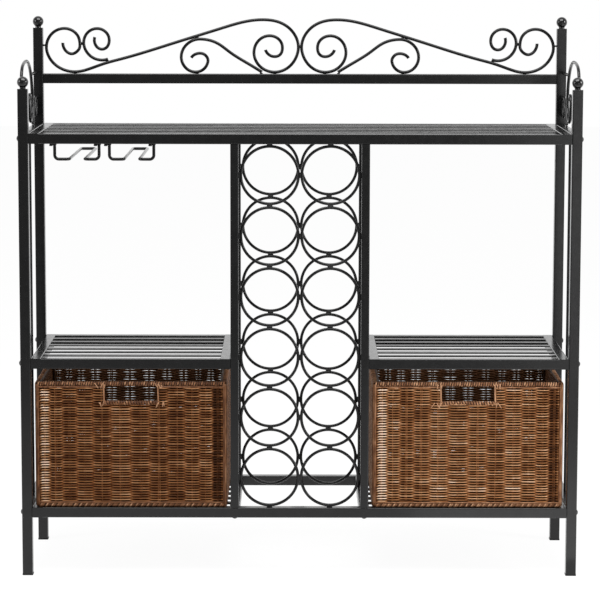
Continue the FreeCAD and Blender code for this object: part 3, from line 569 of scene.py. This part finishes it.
class Basket:
    """One wicker basket, woven in the place of its plain CAD body."""

    def __init__(self, side, seed, shade, spread_left, spread_right):
        self.body = "basket_" + side
        self.node = self.body + "_body"
        self.shade = shade
        self.low, self.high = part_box(self.node)
        self.low.x -= spread_left
        self.high.x += spread_right
        self.random = np.random.default_rng(seed)
        self.wall = self.outline(WEAVE_INSET)
        self.handle_start = self.wall.lengths[0] / 2 - HANDLE_SIZE[0] / 2
        self.handle_end = self.wall.lengths[0] / 2 + HANDLE_SIZE[0] / 2
        self.handle_top = self.high.z - HANDLE_BELOW_TOP
        self.handle_bottom = self.handle_top - HANDLE_SIZE[1]
        self.stakes = self.stake_places()
        self.crossings = self.crossing_list()

    def outline(self, inset):
        """The basket's outline, inset all round."""
        return Outline(self.low, self.high, inset, BASKET_CORNER)

    def lean(self, limit, count=None):
        """Small random offsets to both sides."""
        return self.random.uniform(-limit, limit, count)

    def shaded(self, tones, count=None):
        """Random tones of a range, shifted by this basket's shade."""
        return self.shade + self.random.uniform(*tones, count)

    def piece(self, strands, name, material):
        """Make an object of strands that stands for this basket's CAD body."""
        strands.piece(self.body + name, material, self.body, self.node)

    def stake_places(self):
        """Distances round the wall of the pairs of stakes."""
        places = []
        for wall in range(4):
            facing_front = wall % 2 == 0
            count = FRONT_STAKES if facing_front else SIDE_STAKES
            share = (np.arange(count) + 0.5) / count
            extra = FRONT_COLUMN_EXTRA if facing_front else SIDE_COLUMN_EXTRA
            widths = 1 + extra * np.sin(np.pi * share) ** 2
            widths = widths * self.random.uniform(*COLUMN_VARIATION, count)
            edges = np.concatenate([[0.0], np.cumsum(widths)])
            middles = (edges[1:] + edges[:-1]) / 2 / edges[-1]
            places.extend(self.wall.starts[2 * wall] + middles * self.wall.lengths[2 * wall])
        return np.array(places)

    def crossing_list(self):
        """The stakes and corners where the rows bend, in order, with the last and first repeated."""
        met = []
        for number, place in enumerate(self.stakes):
            tone = self.lean(COLUMN_TONE)
            # the front wall's end columns get painted light at the left and painted shade at the right
            if number == 0:
                tone = FIRST_COLUMN_PAINTED_LIGHT
            elif number == FRONT_STAKES - 1:
                tone = LAST_COLUMN_PAINTED_SHADE
            met.append((place, self.lean(STAKE_DRIFT), tone, 1 - 2 * (number % 2), 0))
        for corner in range(4):
            dip = CORNER_DIP if corner == 3 else 0.0
            met.append((self.wall.corner_middle(corner), -dip, CORNER_TONE, 0, CORNER_SWING))
        crossings = np.array(sorted(met), float)
        before, after = crossings[-1].copy(), crossings[0].copy()
        before[PLACE] -= self.wall.total
        after[PLACE] += self.wall.total
        return np.vstack([before, crossings, after])

    def row_distances(self, closed):
        """Where along the wall one row has its points, and where it stops at the hand hole."""
        here, there = self.crossings[:-1, :1], self.crossings[1:, :1]
        distances = np.unique(np.mod(blended(here, there, np.array(BEND_SHARES)), self.wall.total))
        if closed:
            return distances
        outside = (distances < self.handle_start) | (distances > self.handle_end)
        kept = distances[outside]
        kept = np.where(kept < self.handle_start, kept + self.wall.total, kept)
        edges = [self.handle_end, self.handle_start + self.wall.total]
        return np.unique(np.concatenate([kept, edges]))

    def row(self, number, height):
        """One row's distances, swings, heights, tones, gaps by the stakes, and whether it closes."""
        closed = not self.handle_bottom < height < self.handle_top
        distances = self.row_distances(closed)
        places = np.mod(distances, self.wall.total)
        column = np.clip(np.searchsorted(self.crossings[:, PLACE], places, side="right") - 1,
                         0, len(self.crossings) - 2)
        here, there = self.crossings[column], self.crossings[column + 1]
        share = (places - here[:, PLACE]) / (there[:, PLACE] - here[:, PLACE])
        sway = eased((share - SWAY_START) / SWAY_LENGTH)
        parity = -1 if number % 2 else 1
        swing = parity * blended(here[:, SIDE], there[:, SIDE], sway)
        swing = swing + here[:, SWING] + (there[:, SWING] - here[:, SWING]) * sway
        fade = min(1.0, (height - self.low.z) / DIP_FADE, (self.high.z - height) / DIP_FADE)
        jitter = self.lean(ROW_JITTER, len(self.crossings))
        jitter[-1] = jitter[1]
        jitter[0] = jitter[-2]
        drift = (here[:, DRIFT] * fade + jitter[column]) * (1 - sway)
        drift = drift + (there[:, DRIFT] * fade + jitter[column + 1]) * sway
        tone = blended(here[:, TONE], there[:, TONE], share > 0.5)
        # a row is painted darker where it passes behind a stake or the corner sticks, as painted shade
        tone = tone * np.maximum(swing, 0.0) + BEHIND_PAINTED_SHADE * np.minimum(swing, 0.0)
        tone = tone + self.shaded(ROW_TONES) + JITTER_TONE * jitter[column]
        beside_stake = np.minimum(share, 1 - share) < GAP_REACH
        gap = np.where(beside_stake, 1.0 if number % 2 else EVEN_ROW_GAP, 0.0)
        return distances, swing, height + drift, tone, gap, closed

    def weave(self):
        """The over-and-under rows of all four walls, in a lower and an upper piece."""
        bottom = self.low.z + 2 * ROPE_RADIUS + BAND_ROOM + STRAND_RADIUS
        top = self.high.z - 2 * RIM_HALF_HEIGHT - BAND_ROOM - STRAND_RADIUS
        count = int(round((top - bottom) / ROW_PITCH)) + 1
        half_heights = np.array(STRAND_HALF_HEIGHTS)
        halves = [Strands(), Strands()]
        for number in range(count):
            height = bottom + (top - bottom) * number / (count - 1)
            distances, swing, heights, tone, gap, closed = self.row(number, height)
            place, outward = self.wall.at(distances)
            path = place + outward * (swing * STRAND_SWING)[:, None] + UP * heights[:, None]
            thickness = self.random.uniform(*STRAND_VARIATION)
            wall = self.wall.wall_at(distances)
            slimmed = np.where(swing > 0, FRONT_SLIMMING, BEHIND_WIDENING) * swing
            slimmed = np.where(wall == 2, BACK_GAP_SLIMMING * gap, slimmed)
            half_height = thickness * half_heights[wall] * (1 - slimmed)
            halves[2 * number // count].add(path, outward, thickness * STRAND_RADIUS, half_height,
                                            tone, closed)
        self.piece(halves[0], "_weave_lower", WEAVE_CANE)
        self.piece(halves[1], "_weave_upper", WEAVE_CANE)

    def upright_stakes(self):
        """Pairs of upright stakes that the rows pass in front of and behind."""
        strands = Strands()
        for place in self.stakes:
            over_handle = self.handle_start < place < self.handle_end
            top = self.handle_bottom if over_handle else self.high.z - RIM_HALF_HEIGHT
            heights = np.linspace(self.low.z + ROPE_RADIUS, top, STAKE_POINTS)
            for offset in (-STAKE_HALF_GAP, STAKE_HALF_GAP):
                spot, outward = self.wall.at(place + offset + self.lean(STAKE_LEAN, len(heights)))
                strands.add(spot + UP * heights[:, None], outward, STAKE_RADIUS, STAKE_RADIUS,
                            self.shaded(STAKE_TONES))
        self.piece(strands, "_stakes", WEAVE_CANE)

    def corner_sticks(self):
        """Three smooth sticks up each corner, that the rows pass behind."""
        outline = self.outline(CORNER_STICK_RADIUS + CORNER_STICK_INSET)
        strands = Strands()
        heights = np.linspace(self.low.z + ROPE_RADIUS, self.high.z - RIM_HALF_HEIGHT,
                              CORNER_STICK_POINTS)
        for corner in range(4):
            for step in (-1, 0, 1):
                lean = self.lean(CORNER_STICK_LEAN, len(heights))
                middle = outline.corner_middle(corner) + step * CORNER_STICK_PITCH
                spot, outward = outline.at(middle + lean)
                tones = self.shaded(CORNER_STICK_TONES, len(heights))
                if corner == 0 and step == 0:
                    tones += CORNER_HIGHLIGHT_TONE
                strands.add(spot + UP * heights[:, None], outward, CORNER_STICK_RADIUS,
                            CORNER_STICK_RADIUS, tones, sides=SMOOTH_SIDES)
        self.piece(strands, "_corner_sticks", WRAP_CANE)

    def bands(self):
        """Smooth canes that run round under the rim and over the foot."""
        strands = Strands()
        outline = self.outline(BAND_RADIUS + BAND_INSET)
        under_rim = self.high.z - 2 * RIM_HALF_HEIGHT - BAND_LIFT
        over_foot = self.low.z + 2 * ROPE_RADIUS + BAND_LIFT
        for height, start, stop in ((under_rim, self.handle_end, self.handle_start + self.wall.total),
                                    (over_foot, 0.0, self.wall.total)):
            run = np.linspace(start, stop, BAND_POINTS) * outline.total / self.wall.total
            place, outward = outline.at(run)
            path = place + UP * (height + self.lean(BAND_LEAN, len(run)))[:, None]
            strands.add(path, outward, BAND_RADIUS, BAND_RADIUS, self.shaded(BAND_TONES, len(run)))
        self.piece(strands, "_bands", WRAP_CANE)

    def rim(self):
        """The round rim, wound with cane."""
        strands = Strands()
        outline = self.outline(RIM_HALF_WIDTH + BORDER_INSET)
        level = UP * (self.high.z - RIM_HALF_HEIGHT - RIM_BELOW_TOP)
        radii = (RIM_HALF_WIDTH - WRAP_RADII[0], RIM_HALF_HEIGHT - WRAP_RADII[0])
        turns = int(round(outline.total / WRAP_PITCH))
        core, outward = outline.at(outline.evenly(turns * TURN_POINTS))
        strands.wind(core + level, outward, radii, self.shaded(RIM_TONES, turns), closed=True)
        # the core, painted dark as shade between the turns
        core, outward = outline.at(outline.evenly(RIM_CORE_POINTS))
        strands.add(core + level, outward, *radii, RIM_CORE_PAINTED_SHADE, closed=True,
                    sides=RIM_CORE_SIDES)
        self.piece(strands, "_rim", WRAP_CANE)

    def foot_rope(self):
        """The three-strand rope round the basket's foot."""
        strands = Strands()
        outline = self.outline(ROPE_RADIUS + BORDER_INSET)
        turns = int(round(outline.total / ROPE_LAY))
        run = outline.evenly(turns * TURN_POINTS)
        place, outward = outline.at(run)
        place = place + UP * (self.low.z + ROPE_RADIUS)
        reach = ROPE_RADIUS - ROPE_STRAND_RADIUS
        for strand in range(ROPE_STRANDS):
            phase = 2 * np.pi * (np.arange(len(run)) / TURN_POINTS + strand / ROPE_STRANDS)
            facing = outward * np.cos(phase)[:, None] + UP * np.sin(phase)[:, None]
            tones = np.repeat(self.shaded(ROPE_TONES, turns), TURN_POINTS) + ROPE_TONE_STEP * strand
            strands.add(place + facing * reach, facing, ROPE_STRAND_RADIUS, ROPE_STRAND_RADIUS,
                        tones, closed=True)
        # a dark core, painted shade that shows between the strands
        core_radius = reach * ROPE_CORE_SHARE
        strands.add(place[::ROPE_CORE_STEP], outward[::ROPE_CORE_STEP], core_radius, core_radius,
                    ROPE_CORE_PAINTED_SHADE, closed=True)
        self.piece(strands, "_foot_rope", WRAP_CANE)

    def handle_binding(self):
        """The wound lower edge and plain side edges of the hand hole, with a few loose ends."""
        strands = Strands()
        heights = np.linspace(self.handle_bottom - HANDLE_OVERLAP, self.high.z - RIM_HALF_HEIGHT,
                              HANDLE_SIDE_POINTS)
        slant = np.linspace(-HANDLE_SIDE_SLANT, HANDLE_SIDE_SLANT, len(heights))
        for distance in (self.handle_start + HANDLE_SIDE_RADIUS, self.handle_end - HANDLE_SIDE_RADIUS):
            for step in (-1, 1):
                spot, outward = self.wall.at(np.full(len(heights), distance))
                path = spot + UP * heights[:, None] + outward * (-step * HANDLE_SIDE_SPLAY)
                path[:, 0] += slant * step
                # the front cane gets painted light and the one behind painted shade
                tone = self.shade + HANDLE_SIDE_TONE - HANDLE_SIDE_PAINTED_LIGHT_STEP * step
                strands.add(path, outward, HANDLE_SIDE_RADIUS, HANDLE_SIDE_RADIUS, tone,
                            sides=SMOOTH_SIDES)
        radii = HANDLE_WRAP_RADII
        level = UP * (self.handle_bottom + radii[1] - HANDLE_WRAP_DROP)
        turns = int((self.handle_end - self.handle_start) / HANDLE_WRAP_PITCH)
        run = np.linspace(self.handle_start, self.handle_end, turns * TURN_POINTS)
        core, outward = self.wall.at(run)
        strands.wind(core + level, outward, radii, self.shaded(HANDLE_WRAP_TONES, turns),
                     closed=False, turn=-1)
        # a darker core, painted shade that shows between the turns
        strands.add(core[::HANDLE_CORE_STEP] + level, outward[::HANDLE_CORE_STEP], *radii,
                    HANDLE_CORE_PAINTED_SHADE, sides=SMOOTH_SIDES)
        for edge, heading in ((self.handle_start, -1), (self.handle_end, 1)):
            for height, rise in ((self.handle_top - HANDLE_OVERLAP, 1),
                                 (self.handle_bottom + HANDLE_OVERLAP, -1)):
                self.loose_ends(strands, edge, heading, height, rise)
        self.piece(strands, "_handle_binding", WRAP_CANE)

    def loose_ends(self, strands, edge, heading, height, rise):
        """Short cut ends of cane at one corner of the hand hole."""
        for _ in range(LOOSE_END_COUNT):
            start = edge + heading * self.random.uniform(*LOOSE_END_STARTS)
            length = self.random.uniform(*LOOSE_END_LENGTHS)
            slant = self.lean(LOOSE_END_SLANT)
            spot, outward = self.wall.at([start, start + slant * length])
            rises = np.array([0.0, rise * length]) - rise * LOOSE_END_TUCK
            path = spot + outward * LOOSE_END_STANDOFF + UP * (height + rises)[:, None]
            strands.add(path, outward, *LOOSE_END_RADII, self.random.uniform(*LOOSE_END_TONES),
                        sides=LOOSE_END_SIDES)

    def floor(self):
        """The woven floor: weavers from side to side, over front-to-back sticks and splints."""
        strands = Strands()
        level = self.low.z + BASE_LEVEL
        inset = WEAVE_INSET + BASE_INSET
        low_x, high_x = self.low.x + inset, self.high.x - inset
        low_y, high_y = self.low.y + inset, self.high.y - inset
        stick_x = np.linspace(low_x, high_x, FRONT_STAKES + 2)[1:-1]
        stick_y = np.linspace(low_y, high_y, BASE_STICK_POINTS)

        def front_to_back(x):
            """A level path across the floor at one place along X."""
            return np.stack([np.full_like(stick_y, x), stick_y, np.full_like(stick_y, level)], axis=-1)

        for x in stick_x:
            for offset in (-STAKE_HALF_GAP, STAKE_HALF_GAP):
                strands.add(front_to_back(x + offset), -UP, STAKE_RADIUS, STAKE_RADIUS,
                            BASE_STICK_TONE)
        for x in np.arange(low_x, high_x, SPLINT_PITCH):
            strands.add(front_to_back(x), -UP, SPLINT_HALF_THICKNESS, SPLINT_PITCH / 2,
                        self.random.uniform(*SPLINT_TONES))
        rows = int((high_y - low_y) / (BASE_PITCH / 2))
        xs = np.linspace(low_x, high_x, (len(stick_x) + 1) * WEAVER_POINTS + 1)
        wave = np.pi * (xs - stick_x[0]) / (stick_x[1] - stick_x[0])
        for row in range(rows):
            sign = 1 if row % 2 == 0 else -1
            z = level + sign * np.cos(wave) * BASE_SWING
            y = low_y + (row + 0.5) * (high_y - low_y) / rows
            path = np.stack([xs, np.full(len(xs), y), z], axis=-1)
            strands.add(path, UP, STRAND_RADIUS, WEAVER_WIDENING * STRAND_RADIUS,
                        self.random.uniform(*WEAVER_TONES))
        self.piece(strands, "_floor", WEAVE_CANE)

    def build(self):
        """Weave the whole basket."""
        self.weave()
        self.upright_stakes()
        self.corner_sticks()
        self.bands()
        self.rim()
        self.foot_rope()
        self.handle_binding()
        self.floor()


# the left basket's tones are shifted darker and the right basket's lighter
Basket("left", seed=11, shade=-0.16, spread_left=BASKET_SPREAD, spread_right=BASKET_SPREAD).build()
Basket("right", seed=23, shade=0.03, spread_left=BASKET_SPREAD, spread_right=0.0).build()


# ---------------------------------------------------------------- stage

WHITE = (1.0, 1.0, 1.0, 1.0)
SEEN_RAYS = ("Is Camera Ray", "Is Glossy Ray", "Is Transmission Ray")
FRONT_DIMMING = 0.28         # how bright the studio in front of the rack is, seen in the metal
STAGE_REACH = 14.0           # from the middle of the studio's floor to its edges
STAGE_COLOUR = (0.86, 0.86, 0.86, 1.0)    # of the plain floor under the glow
STAGE_GLOW = 1.06            # a little over white
STAGE_GLOW_SHARE = 0.90      # the rest is plain floor, which keeps a shadow
STAGE_FADE = (-0.5, -3.2)    # where along Y the floor's mirrored glow starts and stops falling off
SKY_FADE = (0.25, -0.25)     # the same for the world, by the Y of a direction
SKY_LIGHT = 0.30             # what the world gives the rack as light
RACK_MIDDLE = (0.0, 0.0, 0.55)


def ray_is_any(tree, names):
    """1 for a ray of any of the named kinds."""
    path = tree.nodes.new("ShaderNodeLightPath")
    total = path.outputs[names[0]]
    for name in names[1:]:
        total = arithmetic(tree, "MAXIMUM", total, path.outputs[name])
    return total


def dimmed_if_mirrored(tree, dimming, strength):
    """A strength that is dimmed only for rays that a glossy surface sends out."""
    mirrored = ray_is_any(tree, ["Is Glossy Ray"])
    change = arithmetic(tree, "SUBTRACT", dimming, 1.0)
    factor = arithmetic(tree, "ADD", arithmetic(tree, "MULTIPLY", change, mirrored), 1.0)
    return arithmetic(tree, "MULTIPLY", factor, strength)


def pale_floor():
    """A white floor that fades into the background and keeps a soft shadow of the rack."""
    mesh = bpy.data.meshes.new("studio_floor")
    corners = [(-STAGE_REACH, -STAGE_REACH, 0), (STAGE_REACH, -STAGE_REACH, 0),
               (STAGE_REACH, STAGE_REACH, 0), (-STAGE_REACH, STAGE_REACH, 0)]
    mesh.from_pydata(corners, [], [(0, 1, 2, 3)])
    floor = bpy.data.objects.new("studio_floor", mesh)
    bpy.context.scene.collection.objects.link(floor)
    material = bpy.data.materials.new("studio_floor")
    material.use_nodes = True
    tree = material.node_tree
    tree.nodes.clear()
    output = tree.nodes.new("ShaderNodeOutputMaterial")
    diffuse = tree.nodes.new("ShaderNodeBsdfDiffuse")
    diffuse.inputs["Color"].default_value = STAGE_COLOUR
    glow = tree.nodes.new("ShaderNodeEmission")
    glow.inputs["Color"].default_value = WHITE
    mix = tree.nodes.new("ShaderNodeMixShader")
    seen = ray_is_any(tree, SEEN_RAYS)
    tree.links.new(arithmetic(tree, "MULTIPLY", seen, STAGE_GLOW_SHARE), mix.inputs["Fac"])
    to_back = along_axis(tree, object_coordinates(tree), "Y")
    far = spread(tree, to_back, 1.0, FRONT_DIMMING, *STAGE_FADE)
    tree.links.new(dimmed_if_mirrored(tree, far, STAGE_GLOW), glow.inputs["Strength"])
    tree.links.new(diffuse.outputs["BSDF"], mix.inputs[1])
    tree.links.new(glow.outputs["Emission"], mix.inputs[2])
    tree.links.new(mix.outputs["Shader"], output.inputs["Surface"])
    mesh.materials.append(material)


def white_surroundings():
    """A world that looks white and lights the rack at a plain, lower level."""
    world = bpy.data.worlds.new("studio")
    bpy.context.scene.world = world
    world.use_nodes = True
    tree = world.node_tree
    tree.nodes.clear()
    output = tree.nodes.new("ShaderNodeOutputWorld")
    background = tree.nodes.new("ShaderNodeBackground")
    background.inputs["Color"].default_value = WHITE
    direction = tree.nodes.new("ShaderNodeTexCoord").outputs["Generated"]
    front = spread(tree, along_axis(tree, direction, "Y"), 1.0, FRONT_DIMMING, *SKY_FADE)
    seen = ray_is_any(tree, SEEN_RAYS)
    shown = arithmetic(tree, "MULTIPLY", seen, dimmed_if_mirrored(tree, front, 1.0))
    tree.links.new(arithmetic(tree, "MAXIMUM", shown, SKY_LIGHT), background.inputs["Strength"])
    tree.links.new(background.outputs["Background"], output.inputs["Surface"])


def soft_box(name, place, aim, size, power, mirrored=True):
    """A rectangular soft light that faces a point, and may leave no highlight in the metal."""
    light = bpy.data.lights.new(name, "AREA")
    light.shape = "RECTANGLE"
    light.size, light.size_y = size
    light.energy = power
    lamp = bpy.data.objects.new(name, light)
    lamp.location = place
    lamp.visible_camera = False
    lamp.visible_glossy = mirrored
    lamp.rotation_mode = "QUATERNION"
    lamp.rotation_quaternion = (Vector(aim) - Vector(place)).to_track_quat("-Z", "Y")
    bpy.context.scene.collection.objects.link(lamp)


pale_floor()
white_surroundings()
soft_box("overhead", place=(0.0, -1.1, 3.0), aim=RACK_MIDDLE, size=(2.6, 1.6), power=90.0)
soft_box("left_side", place=(-2.6, -0.9, 1.5), aim=RACK_MIDDLE, size=(0.6, 1.1), power=20.0)
soft_box("right_side", place=(2.6, -0.9, 1.5), aim=RACK_MIDDLE, size=(0.6, 1.1), power=34.0)
soft_box("right_front", place=(1.3, -2.6, 0.35), aim=(0.4, 0.0, 0.3), size=(1.0, 0.7), power=18.5,
         mirrored=False)
soft_box("right_screen", place=(1.38, -2.6, 0.45), aim=(0.5, 0.0, 0.45), size=(1.5, 1.3), power=7.0)
soft_box("right_floor", place=(0.85, -0.68, 0.02), aim=(0.85, -0.68, 1.0), size=(1.2, 0.9), power=2.6)


# ---------------------------------------------------------------- camera

CAMERA_PLACE = (-0.01339, -5.2032, 1.2015)
CAMERA_YAW = 0.0027          # radians to the right of +Y
CAMERA_PITCH = 0.12747       # radians below level
CAMERA_ROLL = 0.0020         # radians, with the camera's right side raised
FOCAL_PIXELS = 2606.1        # for an image IMAGE_WIDTH pixels wide
IMAGE_WIDTH = 600
SENSOR_WIDTH = 36.0          # millimetres
VIEW_REACH = 60.0            # farthest distance that the camera sees


def camera():
    """The camera that sees the rack from a little above its top."""
    forward = Vector((math.sin(CAMERA_YAW) * math.cos(CAMERA_PITCH),
                      math.cos(CAMERA_YAW) * math.cos(CAMERA_PITCH), -math.sin(CAMERA_PITCH)))
    level = Vector((math.cos(CAMERA_YAW), -math.sin(CAMERA_YAW), 0))
    above = level.cross(forward)
    right = level * math.cos(CAMERA_ROLL) + above * math.sin(CAMERA_ROLL)
    up = above * math.cos(CAMERA_ROLL) - level * math.sin(CAMERA_ROLL)
    data = bpy.data.cameras.new("camera")
    data.sensor_width = SENSOR_WIDTH
    data.lens = FOCAL_PIXELS * SENSOR_WIDTH / IMAGE_WIDTH
    data.clip_end = VIEW_REACH
    viewer = bpy.data.objects.new("camera", data)
    turn = Matrix((right, up, -forward)).transposed().to_4x4()
    viewer.matrix_world = Matrix.Translation(CAMERA_PLACE) @ turn
    bpy.context.scene.collection.objects.link(viewer)
    bpy.context.scene.camera = viewer


camera()
bpy.context.scene.view_settings.view_transform = "Standard"
